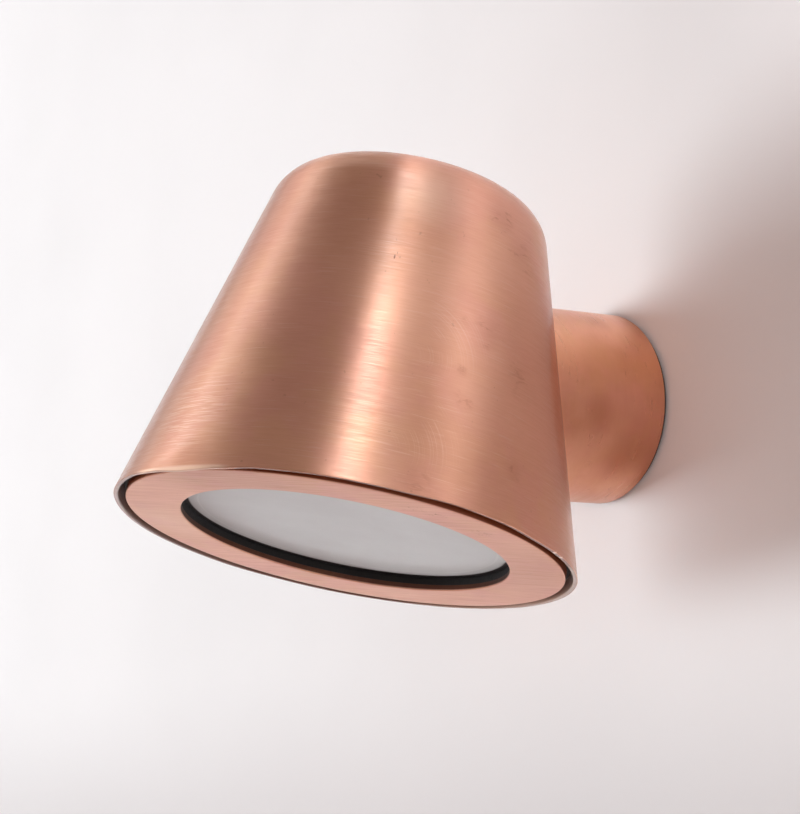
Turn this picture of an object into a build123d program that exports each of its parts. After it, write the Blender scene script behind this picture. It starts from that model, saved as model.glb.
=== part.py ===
from build123d import *
import math
import os

# Outdoor wall light: a copper shade on a short copper stem, with one reflector lamp inside.
# Millimetres. The origin is the centre of the stem's wall pad, on the wall: +Z is up and
# the light stands out from the wall towards -Y.

# Shade, in its own frame: the mouth's centre is the origin and +Z runs up inside the cone
mouth_radius = 57.5
crown_radius = 33.1
shade_height = 92.2
crown_rounding = 12.0
shade_wall = 1.1

# Stem
stem_radius = 25.0
stem_wall = 1.5
stem_reach = 28.8
stem_above_mouth = 38.3
braze_gap = 0.05

# Share of a screw's head that its slot is deep
slot_share = 0.5

# How far a hole is cut past the face that it comes out of
cut_past = 1.0

# Wall pad and wall plate
pad_thickness = 1.0
pad_inset = 0.7
plate_thickness = 2.0
plate_depth = 10.0
plate_rim = 2.4
plate_clearance = 0.3
wall_screw_spacing = 30.0
wall_slot_length = 8.0
wall_slot_width = 4.6
pad_hole_margin = 0.5
cable_radius = 4.0
cable_drop = 9.5
grommet_lip = 1.5
grommet_wall = 2.0
grommet_recess = 0.1

# Grub screw that holds the stem on the wall plate
grub_radius = 2.0
grub_length = 5.0
grub_sunk = 0.2
grub_socket = 2.0
grub_tip = 0.7
grub_from_wall = 7.0
thread_clearance = 0.05

# Terminal block
pole_count = 3
pole_pitch = 8.0
block_height = 10.0
block_depth = 10.5
block_rise = 5.0
block_rounding = 0.8
barrel_radius = 2.0
barrel_bore = 1.2
barrel_back = 4.2
barrel_clearance = 0.05
clamp_screw_radius = 1.4
clamp_screw_length = 3.6
clamp_screw_spread = 2.8
clamp_screw_slot = 0.5
clamp_well_clearance = 0.15
block_screw_radius = 1.25
block_screw_head = 2.1
block_screw_head_height = 1.4

# Bridge, hollow threaded nipple and what they clamp
bridge_thickness = 2.0
bridge_gap = 2.1
nipple_radius = 5.0
nipple_bore = 3.5
nipple_hole_clearance = 0.2
nipple_proud = 0.5
nut_flats = 14.0
nut_thickness = 3.0
nut_chamfer = 0.3
washer_radius = 8.6
washer_thickness = 0.6
washer_teeth = 12
washer_tooth_depth = 1.2
washer_notch = 1.4
bush_flange = 1.0
bush_spigot = 3.0
bush_bore = 2.6
bush_clearance = 0.05

# Earth screw and tag on the bridge
earth_across = 11.0
earth_up = 9.5
earth_screw_radius = 2.0
earth_head_radius = 3.5
earth_head_height = 2.4
earth_screw_past = 0.5
tag_radius = 4.0
tag_thickness = 0.8
tag_neck = 3.0
tag_barrel_radius = 1.6
tag_barrel_length = 5.0
tag_barrel_drop = 5.0
lock_washer_radius = 3.8
lock_washer_thickness = 0.5

# Leads
lead_radius = 1.0
lead_clearance = 0.05
lead_pair_spacing = 2.3
lead_bite = 3.0
lamp_lead_drop = 5.0
lamp_lead_run_in = 7.3
lamp_lead_past_bush = 5.3
lamp_lead_behind_holder = 9.0
lamp_lead_bends = (3.0, 10.0, 4.6, 4.8)
earth_lead_drop = 4.5
earth_lead_bends = (6.0, 3.2)

# Lamp, on the shade's axis
lamp_front = 11.0
lamp_radius = 25.0
lamp_bezel = 2.4
lamp_bezel_height = 3.5
lamp_lens_thickness = 2.0
lamp_lens_clearance = 0.1
lamp_shell_length = 37.0
lamp_neck_radius = 13.2
lamp_bulge = 2.6
lamp_fin_count = 12
lamp_fin_gap = 1.6
lamp_fin_depth = 1.5
lamp_base_radius = 12.5
lamp_base_length = 9.5
lamp_base_groove = 0.8
pin_spread = 5.0
pin_neck_radius = 1.5
pin_neck_length = 3.4
pin_head_radius = 2.5
pin_head_length = 3.6
pin_rounding = 0.6
lamp_twist = 45.0

# Lampholder
holder_gap = 0.5
holder_length = 36.0
holder_width = 24.0
holder_rounding = 4.0
holder_body_height = 13.0
holder_cap_height = 5.0
holder_cap_inset = 0.5
holder_face = 2.6
pin_neck_clearance = 0.2
pin_head_clearance = 0.3
channel_height = 5.9
contact_thickness = 0.4
contact_gap = 0.4
contact_inset = 0.2
contact_post = 1.0
holder_screw_spread = 14.0
holder_screw_radius = 1.5
holder_screw_head = 2.8
holder_screw_head_height = 2.0
holder_screw_length = 12.0
holder_screw_clearance = 0.1
holder_lead_spread = 5.0
holder_lead_height = 10.0

# Lamp bracket
bracket_thickness = 1.5
bracket_width = 14.0
bracket_bend = 4.0
bracket_below = 10.0
bracket_past_screw = 5.0
bracket_clearance = 0.15
bracket_corner = 3.0

# Mouth: collar, seal, glass, gasket and trim ring, each set in from the one outside it
ring_proud = 0.2
ring_set_in = 3.0
ring_flange = 4.5
ring_thickness = 2.5
ring_ledge = 1.5
ring_outer_edge = 0.3
ring_inner_edge = 0.3
skirt_wall = 3.0
ring_pitch = 1.5
ring_turns = 3
gasket_thickness = 1.75
gasket_set_back = 0.1
glass_play = 0.5
glass_lap = 5.7
glass_thickness = 4.0
glass_edge = 0.4
seal_gap = 0.1
seal_width = 3.5
seal_thickness = 1.4
skirt_running_gap = 0.3
skirt_clearance = 0.05
collar_above_ring = 0.7
collar_seat_thickness = 2.5
collar_lap = 4.5
collar_chamfer = 0.5
flat_clearance = 0.05

# The shade leans back by half its cone angle, so its back stands parallel to the wall
taper = (mouth_radius - crown_radius) / shade_height
lean = math.degrees(math.atan(taper))
mouth_y = -(stem_reach + mouth_radius * math.cos(math.radians(lean)))
shade_frame = Location((0, mouth_y, -stem_above_mouth), (-lean, 0, 0))

# The stem's frame: x across, y up, z straight out from the wall
stem_frame = Location((0, 0, 0), (90, 0, 0))

# Places along the stem, measured out from the wall
plate_back = pad_thickness
plate_front = plate_back + plate_thickness
plate_radius = stem_radius - stem_wall - plate_clearance
bridge_front = stem_reach - bridge_gap
bridge_back = bridge_front - bridge_thickness
wall_nut_front = bridge_back - washer_thickness
wall_nut_back = wall_nut_front - nut_thickness
nipple_back = wall_nut_back - nipple_proud
leg_curve = (crown_radius - shade_wall) / math.cos(math.radians(lean))
leg_sagitta = leg_curve - math.sqrt(leg_curve**2 - (bracket_width / 2) ** 2)
leg_back = stem_reach + shade_wall + leg_sagitta + bracket_clearance
leg_front = leg_back + bracket_thickness
shade_nut_back = leg_front + washer_thickness
shade_nut_front = shade_nut_back + nut_thickness
nipple_front = shade_nut_front + nipple_proud

# Radii at the mouth, from the mouth's edge inwards
ring_radius = mouth_radius - ring_set_in
skirt_radius = ring_radius - ring_flange
glass_radius = skirt_radius - skirt_wall - glass_play
ring_opening = glass_radius - glass_lap
collar_opening = glass_radius - collar_lap

# Heights along the shade's axis
ring_bottom = -ring_proud
ring_seat = ring_bottom + ring_ledge
ring_top = ring_bottom + ring_thickness
collar_low = ring_top + collar_above_ring
gasket_bottom = ring_seat + flat_clearance
glass_bottom = gasket_bottom + gasket_thickness
glass_top = glass_bottom + glass_thickness
seal_bottom = glass_top + seal_gap
collar_seat = seal_bottom + seal_thickness
collar_top = collar_seat + collar_seat_thickness
lamp_shell_top = lamp_front + lamp_shell_length
lamp_base_top = lamp_shell_top + lamp_base_length
pin_neck_top = lamp_base_top + pin_neck_length
pin_top = pin_neck_top + pin_head_length
holder_bottom = lamp_base_top + holder_gap
holder_face_top = holder_bottom + holder_face
channel_top = holder_face_top + channel_height
holder_cap_bottom = holder_bottom + holder_body_height
holder_top = holder_cap_bottom + holder_cap_height
bracket_arm_top = holder_top + bracket_thickness


def cone_inside(height):
    # Radius of the shade's inner face at a height above its mouth
    return mouth_radius - taper * height - shade_wall / math.cos(math.radians(lean))


def turned(*corners):
    # A piece turned about +Z from a section given as (radius, height) corners
    return revolve(make_face(Plane.XZ * Polyline(*corners, close=True)), Axis.Z)


def rod(radius, low, high):
    # A round rod on +Z, from one height to another
    return Pos(0, 0, low) * Cylinder(radius, high - low, align=(Align.CENTER, Align.CENTER, Align.MIN))


def tube(radius, bore, low, high):
    return rod(radius, low, high) - rod(bore, low, high)


def block(length, width, low, high):
    return Pos(0, 0, low) * Box(length, width, high - low, align=(Align.CENTER, Align.CENTER, Align.MIN))


def top_circle(piece):
    return piece.edges().filter_by(GeomType.CIRCLE).sort_by(Axis.Z)[-1]


def bottom_circles(piece):
    # The round edges of the lowest face, smallest first
    return piece.edges().filter_by(GeomType.CIRCLE).group_by(Axis.Z)[0].sort_by(SortBy.RADIUS)


def on_both_sides(spread, piece):
    return [Pos(side * spread, 0, 0) * piece for side in (-1, 1)]


def in_row(across, back, height):
    # A point of the shade's frame, given in the frame of the whole light
    return (shade_frame * Pos(across, back, height)).position


def shade_blank(grow):
    # The solid cone that the shade is spun over, larger all round by grow
    wider = grow / math.cos(math.radians(lean))
    cone = turned(
        (0, -grow),
        (mouth_radius + wider + taper * grow, -grow),
        (crown_radius + wider - taper * grow, shade_height + grow),
        (0, shade_height + grow),
    )
    return fillet(top_circle(cone), crown_rounding + grow)


def make_shade():
    blank = shade_blank(0)
    mouth = blank.faces().sort_by(Axis.Z)[0]
    shell = offset(blank, amount=-shade_wall, openings=mouth)
    entry = stem_frame * rod(nipple_radius + nipple_hole_clearance, stem_reach - bridge_gap, leg_front)
    return shade_frame * shell - entry


def make_stem_tube():
    reach = stem_reach + stem_radius
    pipe = stem_frame * tube(stem_radius, stem_radius - stem_wall, plate_back, reach)
    saddle = shade_frame * shade_blank(braze_gap)
    screw_hole = Pos(0, -grub_from_wall, 0) * rod(grub_radius + thread_clearance, 0, stem_radius + cut_past)
    return pipe - saddle - screw_hole


def make_wall_pad():
    pad = rod(stem_radius - pad_inset, 0, pad_thickness)
    margin = 2 * pad_hole_margin
    slot = SlotOverall(wall_slot_length + margin, wall_slot_width + margin)
    for hole in on_both_sides(wall_screw_spacing / 2, extrude(slot, pad_thickness)):
        pad -= hole
    grommet = cable_radius + grommet_wall + grommet_lip
    pad -= Pos(0, -cable_drop, 0) * rod(grommet + pad_hole_margin, 0, pad_thickness)
    return stem_frame * pad


def block_screw_places():
    middle = block_rise + block_height / 2
    gaps = pole_count - 1
    return [Pos((place - (gaps - 1) / 2) * pole_pitch, middle, 0) for place in range(gaps)]


def make_wall_plate():
    rim = plate_radius - plate_rim
    cup = turned(
        (0, plate_back),
        (plate_radius, plate_back),
        (plate_radius, plate_back + plate_depth),
        (rim, plate_back + plate_depth),
        (rim, plate_front),
        (0, plate_front),
    )
    slot = Pos(0, 0, plate_back) * extrude(SlotOverall(wall_slot_length, wall_slot_width), plate_thickness)
    for hole in on_both_sides(wall_screw_spacing / 2, slot):
        cup -= hole
    cup -= Pos(0, -cable_drop, 0) * rod(cable_radius + grommet_wall, plate_back, plate_front)
    for place in block_screw_places():
        cup -= place * rod(block_screw_radius + thread_clearance, plate_back, plate_front)
    grub_hole = rod(grub_radius + thread_clearance, rim - cut_past, stem_radius)
    return stem_frame * cup - Pos(0, -grub_from_wall, 0) * grub_hole


def make_cable_grommet():
    neck = cable_radius + grommet_wall - thread_clearance
    lip = neck + grommet_lip
    rubber = turned(
        (cable_radius, grommet_recess),
        (lip, grommet_recess),
        (lip, plate_back),
        (neck, plate_back),
        (neck, plate_front),
        (lip, plate_front),
        (cable_radius + grommet_wall / 2, plate_front + grommet_lip),
        (cable_radius, plate_front + grommet_lip),
    )
    return stem_frame * Pos(0, -cable_drop, 0) * rubber


def make_grub_screw():
    tip = stem_radius - grub_sunk - grub_length
    screw = rod(grub_radius, tip, stem_radius - grub_sunk)
    screw = chamfer(bottom_circles(screw)[0], grub_tip)
    socket = extrude(RegularPolygon(grub_radius / 2, 6), grub_socket)
    screw -= Pos(0, 0, stem_radius - grub_sunk - grub_socket) * socket
    return Pos(0, -grub_from_wall, 0) * screw


def pole_places():
    return [(place - (pole_count - 1) / 2) * pole_pitch for place in range(pole_count)]


def block_barrel(radius, length):
    # A rod along the stem frame's up direction, centred on the block's height
    upright = Rot(-90, 0, 0) * rod(radius, -length / 2, length / 2)
    return Pos(0, block_rise + block_height / 2, plate_front + barrel_back) * upright


def clamp_screw_places():
    middle = block_rise + block_height / 2
    rows = [middle - clamp_screw_spread, middle + clamp_screw_spread]
    return [Pos(pole, row, 0) for pole in pole_places() for row in rows]


def make_terminal_block():
    front = plate_front + block_depth
    body = Pos(0, block_rise + block_height / 2, 0) * block(
        pole_count * pole_pitch, block_height, plate_front, front
    )
    body = fillet(body.edges().filter_by(Axis.Z) + body.edges().group_by(Axis.Z)[-1], block_rounding)
    for pole in pole_places():
        body -= Pos(pole, 0, 0) * block_barrel(barrel_radius + barrel_clearance, block_height)
    for place in clamp_screw_places():
        well = clamp_screw_radius + clamp_well_clearance
        body -= place * rod(well, plate_front + barrel_back, front)
    for place in block_screw_places():
        body -= place * rod(block_screw_radius + thread_clearance, plate_front, front)
        head = block_screw_head + clamp_well_clearance
        body -= place * rod(head, front - block_screw_head_height, front)
    return stem_frame * body


def make_terminal_barrels():
    barrels = []
    for pole in pole_places():
        barrel = block_barrel(barrel_radius, block_height) - block_barrel(barrel_bore, block_height)
        for row in (-clamp_screw_spread, clamp_screw_spread):
            entry = Pos(0, block_rise + block_height / 2 + row, 0)
            hole = rod(clamp_screw_radius + thread_clearance, 0, barrel_radius + cut_past)
            barrel -= entry * Pos(0, 0, plate_front + barrel_back) * hole
        barrels.append(stem_frame * Pos(pole, 0, 0) * barrel)
    return Compound(children=barrels)


def slotted_screw(radius, head_radius, head_height, length):
    # A cheese-head screw: its head stands on height 0 and its shank runs down
    screw = rod(radius, -length, 0) + rod(head_radius, 0, head_height)
    slot_low = head_height * (1 - slot_share)
    return screw - block(2 * (head_radius + cut_past), head_radius / 3, slot_low, head_height + cut_past)


def make_terminal_screws():
    bottom = plate_front + barrel_back + barrel_bore
    top = bottom + clamp_screw_length
    slot_length = 2 * (clamp_screw_radius + cut_past)
    slot = block(slot_length, clamp_screw_radius / 3, top - clamp_screw_slot, top + cut_past)
    screw = rod(clamp_screw_radius, bottom, top) - slot
    screws = [stem_frame * place * screw for place in clamp_screw_places()]
    return Compound(children=screws)


def make_block_screws():
    seat = plate_front + block_depth - block_screw_head_height
    screws = []
    for place in block_screw_places():
        screw = slotted_screw(block_screw_radius, block_screw_head, block_screw_head_height, seat - plate_back)
        screws.append(stem_frame * place * Pos(0, 0, seat) * screw)
    return Compound(children=screws)


def make_stem_bridge():
    disc = rod(stem_radius - stem_wall - braze_gap, bridge_back, bridge_front)
    disc -= rod(nipple_radius + thread_clearance, bridge_back, bridge_front)
    disc -= Pos(earth_across, earth_up, 0) * rod(earth_screw_radius + thread_clearance, bridge_back, bridge_front)
    return stem_frame * disc


def make_threaded_nipple():
    return stem_frame * tube(nipple_radius, nipple_bore, nipple_back, nipple_front)


def make_nipple_nuts():
    nut = extrude(RegularPolygon(nut_flats / 2, 6, major_radius=False), nut_thickness)
    nut = chamfer(nut.edges().group_by(Axis.Z)[-1], nut_chamfer)
    nut -= rod(nipple_radius + thread_clearance, 0, nut_thickness)
    wall_nut = Pos(0, 0, wall_nut_front) * Rot(180, 0, 0) * nut
    shade_nut = Pos(0, 0, shade_nut_back) * nut
    return Compound(children=[stem_frame * wall_nut, stem_frame * shade_nut])


def toothed_washer(radius, bore, thickness, teeth, depth, notch):
    washer = tube(radius, bore, 0, thickness)
    for turn in range(teeth):
        gap = Rot(0, 0, turn * 360 / teeth) * Pos(radius, 0, 0) * block(2 * depth, notch, 0, thickness)
        washer -= gap
    return washer


def make_nipple_washers():
    washer = toothed_washer(
        washer_radius,
        nipple_radius + nipple_hole_clearance,
        washer_thickness,
        washer_teeth,
        washer_tooth_depth,
        washer_notch,
    )
    places = (wall_nut_front, leg_front)
    return Compound(children=[stem_frame * Pos(0, 0, place) * washer for place in places])


def make_nipple_bushes():
    spigot = nipple_bore - bush_clearance
    bush = turned(
        (bush_bore, -bush_spigot),
        (spigot, -bush_spigot),
        (spigot, 0),
        (nipple_radius, 0),
        (nipple_radius, bush_flange / 2),
        (nipple_radius - bush_flange / 2, bush_flange),
        (bush_bore + bush_flange / 2, bush_flange),
        (bush_bore, bush_flange / 2),
    )
    wall_bush = Pos(0, 0, nipple_back) * Rot(180, 0, 0) * bush
    shade_bush = Pos(0, 0, nipple_front) * bush
    return Compound(children=[stem_frame * wall_bush, stem_frame * shade_bush])


def make_earth_tag():
    ring = rod(tag_radius, 0, tag_thickness)
    neck = Pos(0, -(tag_barrel_drop + tag_barrel_length) / 2, 0) * block(
        tag_neck, tag_barrel_drop + tag_barrel_length, 0, tag_thickness
    )
    axis_height = -(tag_barrel_radius - tag_thickness / 2)
    lay = Pos(0, -tag_barrel_drop, axis_height) * Rot(90, 0, 0)
    tag = ring + neck + lay * rod(tag_barrel_radius, 0, tag_barrel_length)
    tag -= rod(earth_screw_radius + thread_clearance, 0, tag_thickness)
    tag -= lay * rod(lead_radius + lead_clearance, 0, tag_barrel_length)
    return stem_frame * Pos(earth_across, earth_up, bridge_back - tag_thickness) * tag


def make_earth_washer():
    washer = toothed_washer(
        lock_washer_radius,
        earth_screw_radius + nipple_hole_clearance,
        lock_washer_thickness,
        washer_teeth,
        washer_tooth_depth / 2,
        washer_notch / 2,
    )
    back = bridge_back - tag_thickness - lock_washer_thickness
    return stem_frame * Pos(earth_across, earth_up, back) * washer


def make_earth_screw():
    seat = bridge_back - tag_thickness - lock_washer_thickness
    length = bridge_front + earth_screw_past - seat
    screw = Rot(180, 0, 0) * slotted_screw(earth_screw_radius, earth_head_radius, earth_head_height, length)
    return stem_frame * Pos(earth_across, earth_up, seat) * screw


def make_lead(points, radii):
    # A lead along straight runs joined by arcs, one radius for each corner
    route = FilletPolyline(*points, radius=radii)
    start = Plane(origin=points[0], z_dir=route % 0)
    return sweep(start * Circle(lead_radius), path=route)


def lamp_lead(pole, side):
    # Down out of its terminal, through the nipple and up into the back of the lampholder
    barrel_y = -(plate_front + barrel_back)
    low = block_rise - lamp_lead_drop
    beside = side * lead_pair_spacing / 2
    turn_up = -(nipple_front + bush_flange + lamp_lead_past_bush)
    across = side * holder_lead_spread
    level = holder_bottom + holder_lead_height
    holder_back = holder_length / 2
    points = [
        (pole, barrel_y, block_rise + lead_bite),
        (pole, barrel_y, low),
        (beside, barrel_y - lamp_lead_run_in, 0),
        (beside, turn_up, 0),
        in_row(across, holder_back + lamp_lead_behind_holder, level),
        in_row(across, holder_back - lead_bite, level),
    ]
    return make_lead(points, lamp_lead_bends)


def make_earth_lead():
    barrel_y = -(plate_front + barrel_back)
    tag_y = -(bridge_back - tag_thickness - tag_barrel_radius + tag_thickness / 2)
    pole = pole_places()[-1]
    tag_mouth = earth_up - tag_barrel_drop - tag_barrel_length
    low = tag_mouth - earth_lead_drop
    points = [
        (pole, barrel_y, block_rise + lead_bite),
        (pole, barrel_y, low),
        (earth_across, tag_y, low),
        (earth_across, tag_y, tag_mouth + lead_bite),
    ]
    return make_lead(points, earth_lead_bends)


def make_lamp_bracket():
    # One bent strip: a leg along the shade's back, and an arm square to the lamp's axis
    middle = bracket_thickness / 2
    arm_height = holder_top + middle
    arm_end = -(holder_screw_spread + bracket_past_screw)
    leg_y = -(leg_back + middle)
    arm_start = in_row(0, 0, arm_height)
    arm_tip = in_row(0, arm_end, arm_height)
    slope = (arm_tip.Z - arm_start.Z) / (arm_tip.Y - arm_start.Y)
    corner_z = arm_start.Z + slope * (leg_y - arm_start.Y)
    centre = FilletPolyline(
        (leg_y, -bracket_below), (leg_y, corner_z), (arm_tip.Y, arm_tip.Z), radius=bracket_bend
    )
    section = Plane.YZ * trace(centre, bracket_thickness)
    strip = extrude(section, bracket_width / 2, both=True)
    strip = fillet(strip.edges().filter_by(Axis.Y).group_by(Axis.Z)[0], bracket_corner)
    nipple_hole = rod(nipple_radius + thread_clearance, leg_back - cut_past, leg_front + cut_past)
    strip -= stem_frame * nipple_hole
    arm_hole = holder_screw_radius + holder_screw_clearance
    for side in (-1, 1):
        hole = rod(arm_hole, holder_top - cut_past, bracket_arm_top + cut_past)
        strip -= shade_frame * Pos(0, side * holder_screw_spread, 0) * hole
    return strip


def arc_slot(radius, low, high):
    # The curved slots that the two lamp pins turn along, from where they enter to where they lock
    path = CenterArc((0, 0), pin_spread, -lamp_twist, lamp_twist)
    slot = Pos(0, 0, low) * extrude(SlotArc(path, 2 * radius), high - low)
    return [slot, Rot(0, 0, 180) * slot]


def holder_block(length, width, low, high):
    body = block(width, length, low, high)
    return fillet(body.edges().filter_by(Axis.Z), holder_rounding)


def holder_screw_holes(piece, low, high):
    for side in (-1, 1):
        hole = rod(holder_screw_radius + holder_screw_clearance, low, high)
        piece -= Pos(0, side * holder_screw_spread, 0) * hole
    return piece


def make_lampholder_body():
    body = holder_block(holder_length, holder_width, holder_bottom, holder_cap_bottom)
    for slot in arc_slot(pin_neck_radius + pin_neck_clearance, holder_bottom, holder_face_top):
        body -= slot
    for slot in arc_slot(pin_head_radius + pin_head_clearance, holder_face_top, channel_top):
        body -= slot
    entry = rod(pin_head_radius + pin_head_clearance, holder_bottom, holder_face_top)
    for turn in (0, 180):
        body -= Rot(0, 0, turn - lamp_twist) * Pos(pin_spread, 0, 0) * entry
    screw_low = bracket_arm_top - holder_screw_length - holder_gap
    body = holder_screw_holes(body, screw_low, holder_cap_bottom)
    lead_hole = Rot(-90, 0, 0) * rod(lead_radius + lead_clearance, 0, lead_bite + cut_past)
    for side in (-1, 1):
        place = Pos(side * holder_lead_spread, holder_length / 2 - lead_bite, holder_bottom + holder_lead_height)
        body -= place * lead_hole
    return shade_frame * body


def make_lampholder_cap():
    shrink = 2 * holder_cap_inset
    cap = holder_block(holder_length - shrink, holder_width - shrink, holder_cap_bottom, holder_top)
    return shade_frame * holder_screw_holes(cap, holder_cap_bottom, holder_top)


def make_holder_contacts():
    leaf_bottom = pin_top + contact_gap
    leaf_radius = pin_head_radius + pin_head_clearance - contact_inset
    contacts = []
    for turn, leaf in enumerate(arc_slot(leaf_radius, leaf_bottom, leaf_bottom + contact_thickness)):
        post = Rot(0, 0, turn * 180) * Pos(pin_spread, 0, 0) * rod(contact_post, leaf_bottom, channel_top)
        contacts.append(shade_frame * (leaf + post))
    return Compound(children=contacts)


def make_holder_screws():
    screws = []
    for side in (-1, 1):
        screw = slotted_screw(
            holder_screw_radius, holder_screw_head, holder_screw_head_height, holder_screw_length
        )
        screws.append(shade_frame * Pos(0, side * holder_screw_spread, bracket_arm_top) * screw)
    return Compound(children=screws)


def make_lamp_shell():
    lens_radius = lamp_radius - lamp_bezel
    rim_top = lamp_front + lamp_bezel_height
    middle_radius = (lamp_radius + lamp_neck_radius) / 2 + lamp_bulge
    middle_height = (rim_top + lamp_shell_top) / 2
    recess = lamp_front + lamp_lens_thickness
    outline = [
        Line((0, recess), (lens_radius, recess)),
        Line((lens_radius, recess), (lens_radius, lamp_front)),
        Line((lens_radius, lamp_front), (lamp_radius, lamp_front)),
        Line((lamp_radius, lamp_front), (lamp_radius, rim_top)),
        ThreePointArc(
            (lamp_radius, rim_top), (middle_radius, middle_height), (lamp_neck_radius, lamp_shell_top)
        ),
        Line((lamp_neck_radius, lamp_shell_top), (0, lamp_shell_top)),
        Line((0, lamp_shell_top), (0, recess)),
    ]
    shell = revolve(make_face(Plane.XZ * Curve(outline)), Axis.Z)
    fin_low = rim_top + lamp_bezel_height
    fin_high = lamp_shell_top - lamp_bezel_height
    lean_in = math.degrees(math.atan((lamp_radius - lamp_neck_radius) / lamp_shell_length))
    cut = Rot(0, -lean_in, 0) * Box(2 * lamp_fin_depth, lamp_fin_gap, fin_high - fin_low)
    for turn in range(lamp_fin_count):
        shell -= Rot(0, 0, turn * 360 / lamp_fin_count) * Pos(middle_radius, 0, middle_height) * cut
    return shade_frame * shell


def make_lamp_lens():
    radius = lamp_radius - lamp_bezel - lamp_lens_clearance
    return shade_frame * rod(radius, lamp_front, lamp_front + lamp_lens_thickness)


def make_lamp_base():
    groove_low = lamp_shell_top + lamp_base_length / 3
    groove_high = lamp_shell_top + 2 * lamp_base_length / 3
    waist = lamp_base_radius - lamp_base_groove
    base = turned(
        (0, lamp_shell_top),
        (lamp_base_radius, lamp_shell_top),
        (lamp_base_radius, groove_low),
        (waist, groove_low),
        (waist, groove_high),
        (lamp_base_radius, groove_high),
        (lamp_base_radius, lamp_base_top - lamp_base_groove),
        (waist, lamp_base_top),
        (0, lamp_base_top),
    )
    return shade_frame * base


def make_lamp_pins():
    head = rod(pin_head_radius, pin_neck_top, pin_top)
    head = fillet(top_circle(head), pin_rounding)
    pin = head + rod(pin_neck_radius, lamp_base_top, pin_neck_top)
    return Compound(children=[shade_frame * placed for placed in on_both_sides(pin_spread, pin)])


def make_mouth_collar():
    bore = skirt_radius + skirt_clearance
    collar = turned(
        (bore, collar_low),
        (cone_inside(collar_low) - braze_gap, collar_low),
        (cone_inside(collar_top) - braze_gap, collar_top),
        (collar_opening, collar_top),
        (collar_opening, collar_seat),
        (bore, collar_seat),
    )
    return shade_frame * chamfer(bottom_circles(collar)[0], collar_chamfer)


def make_collar_seal():
    outer = glass_radius
    return shade_frame * tube(outer, outer - seal_width, seal_bottom, collar_seat)


def make_lens_glass():
    glass = rod(glass_radius, glass_bottom, glass_top)
    return shade_frame * chamfer(glass.edges().filter_by(GeomType.CIRCLE), glass_edge)


def make_lens_gasket():
    return shade_frame * tube(glass_radius, ring_opening + gasket_set_back, gasket_bottom, glass_bottom)


def make_trim_ring():
    skirt_bore = skirt_radius - skirt_wall
    ring = turned(
        (ring_opening, ring_bottom),
        (ring_radius, ring_bottom),
        (ring_radius, ring_top),
        (skirt_radius, ring_top),
        (skirt_radius, collar_seat - skirt_running_gap),
        (skirt_bore, collar_seat - skirt_running_gap),
        (skirt_bore, ring_seat),
        (ring_opening, ring_seat),
    )
    ring = fillet(bottom_circles(ring)[-1], ring_outer_edge)
    return shade_frame * fillet(bottom_circles(ring)[0], ring_inner_edge)


pieces = {
    "shade": make_shade(),
    "stem_tube": make_stem_tube(),
    "stem_bridge": make_stem_bridge(),
    "wall_pad": make_wall_pad(),
    "wall_plate": make_wall_plate(),
    "cable_grommet": make_cable_grommet(),
    "grub_screw": make_grub_screw(),
    "terminal_block": make_terminal_block(),
    "terminal_barrels": make_terminal_barrels(),
    "terminal_screws": make_terminal_screws(),
    "block_screws": make_block_screws(),
    "threaded_nipple": make_threaded_nipple(),
    "nipple_nuts": make_nipple_nuts(),
    "nipple_washers": make_nipple_washers(),
    "nipple_bushes": make_nipple_bushes(),
    "earth_tag": make_earth_tag(),
    "earth_washer": make_earth_washer(),
    "earth_screw": make_earth_screw(),
    "live_lead": lamp_lead(pole_places()[0], -1),
    "neutral_lead": lamp_lead(pole_places()[1], 1),
    "earth_lead": make_earth_lead(),
    "lamp_bracket": make_lamp_bracket(),
    "lampholder_body": make_lampholder_body(),
    "lampholder_cap": make_lampholder_cap(),
    "holder_contacts": make_holder_contacts(),
    "holder_screws": make_holder_screws(),
    "mouth_collar": make_mouth_collar(),
    "collar_seal": make_collar_seal(),
    "lens_glass": make_lens_glass(),
    "lens_gasket": make_lens_gasket(),
    "trim_ring": make_trim_ring(),
    "lamp_shell": make_lamp_shell(),
    "lamp_lens": make_lamp_lens(),
    "lamp_base": make_lamp_base(),
    "lamp_pins": make_lamp_pins(),
}

os.makedirs("parts", exist_ok=True)
for name, piece in pieces.items():
    export_step(piece, os.path.join("parts", name + ".step"))
    print(name, len(piece.solids()), "solids,", round(piece.volume, 1), "mm3")

print("lean of the shade:", round(lean, 3), "degrees")
print("mouth centre:", [round(value, 3) for value in in_row(0, 0, 0)])
print("mouth direction:", [round(value, 5) for value in (in_row(0, 0, -1) - in_row(0, 0, 0))])
print("ring travel:", ring_pitch * ring_turns, "mm in", ring_turns, "turns")
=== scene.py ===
import bpy
import bmesh
import math
from mathutils import Matrix, Vector


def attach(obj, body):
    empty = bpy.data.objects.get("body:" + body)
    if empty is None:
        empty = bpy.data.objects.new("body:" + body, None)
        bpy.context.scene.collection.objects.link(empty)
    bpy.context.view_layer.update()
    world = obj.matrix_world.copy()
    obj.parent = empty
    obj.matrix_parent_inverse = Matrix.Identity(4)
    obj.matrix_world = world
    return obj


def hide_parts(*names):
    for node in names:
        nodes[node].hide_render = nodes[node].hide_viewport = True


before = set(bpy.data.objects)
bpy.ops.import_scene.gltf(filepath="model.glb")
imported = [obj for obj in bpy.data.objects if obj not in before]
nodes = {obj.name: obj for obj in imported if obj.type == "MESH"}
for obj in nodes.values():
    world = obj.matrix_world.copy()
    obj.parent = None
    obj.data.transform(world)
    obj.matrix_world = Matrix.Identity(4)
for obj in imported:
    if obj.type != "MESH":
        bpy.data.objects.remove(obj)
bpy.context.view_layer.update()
mm = 0.001


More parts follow.
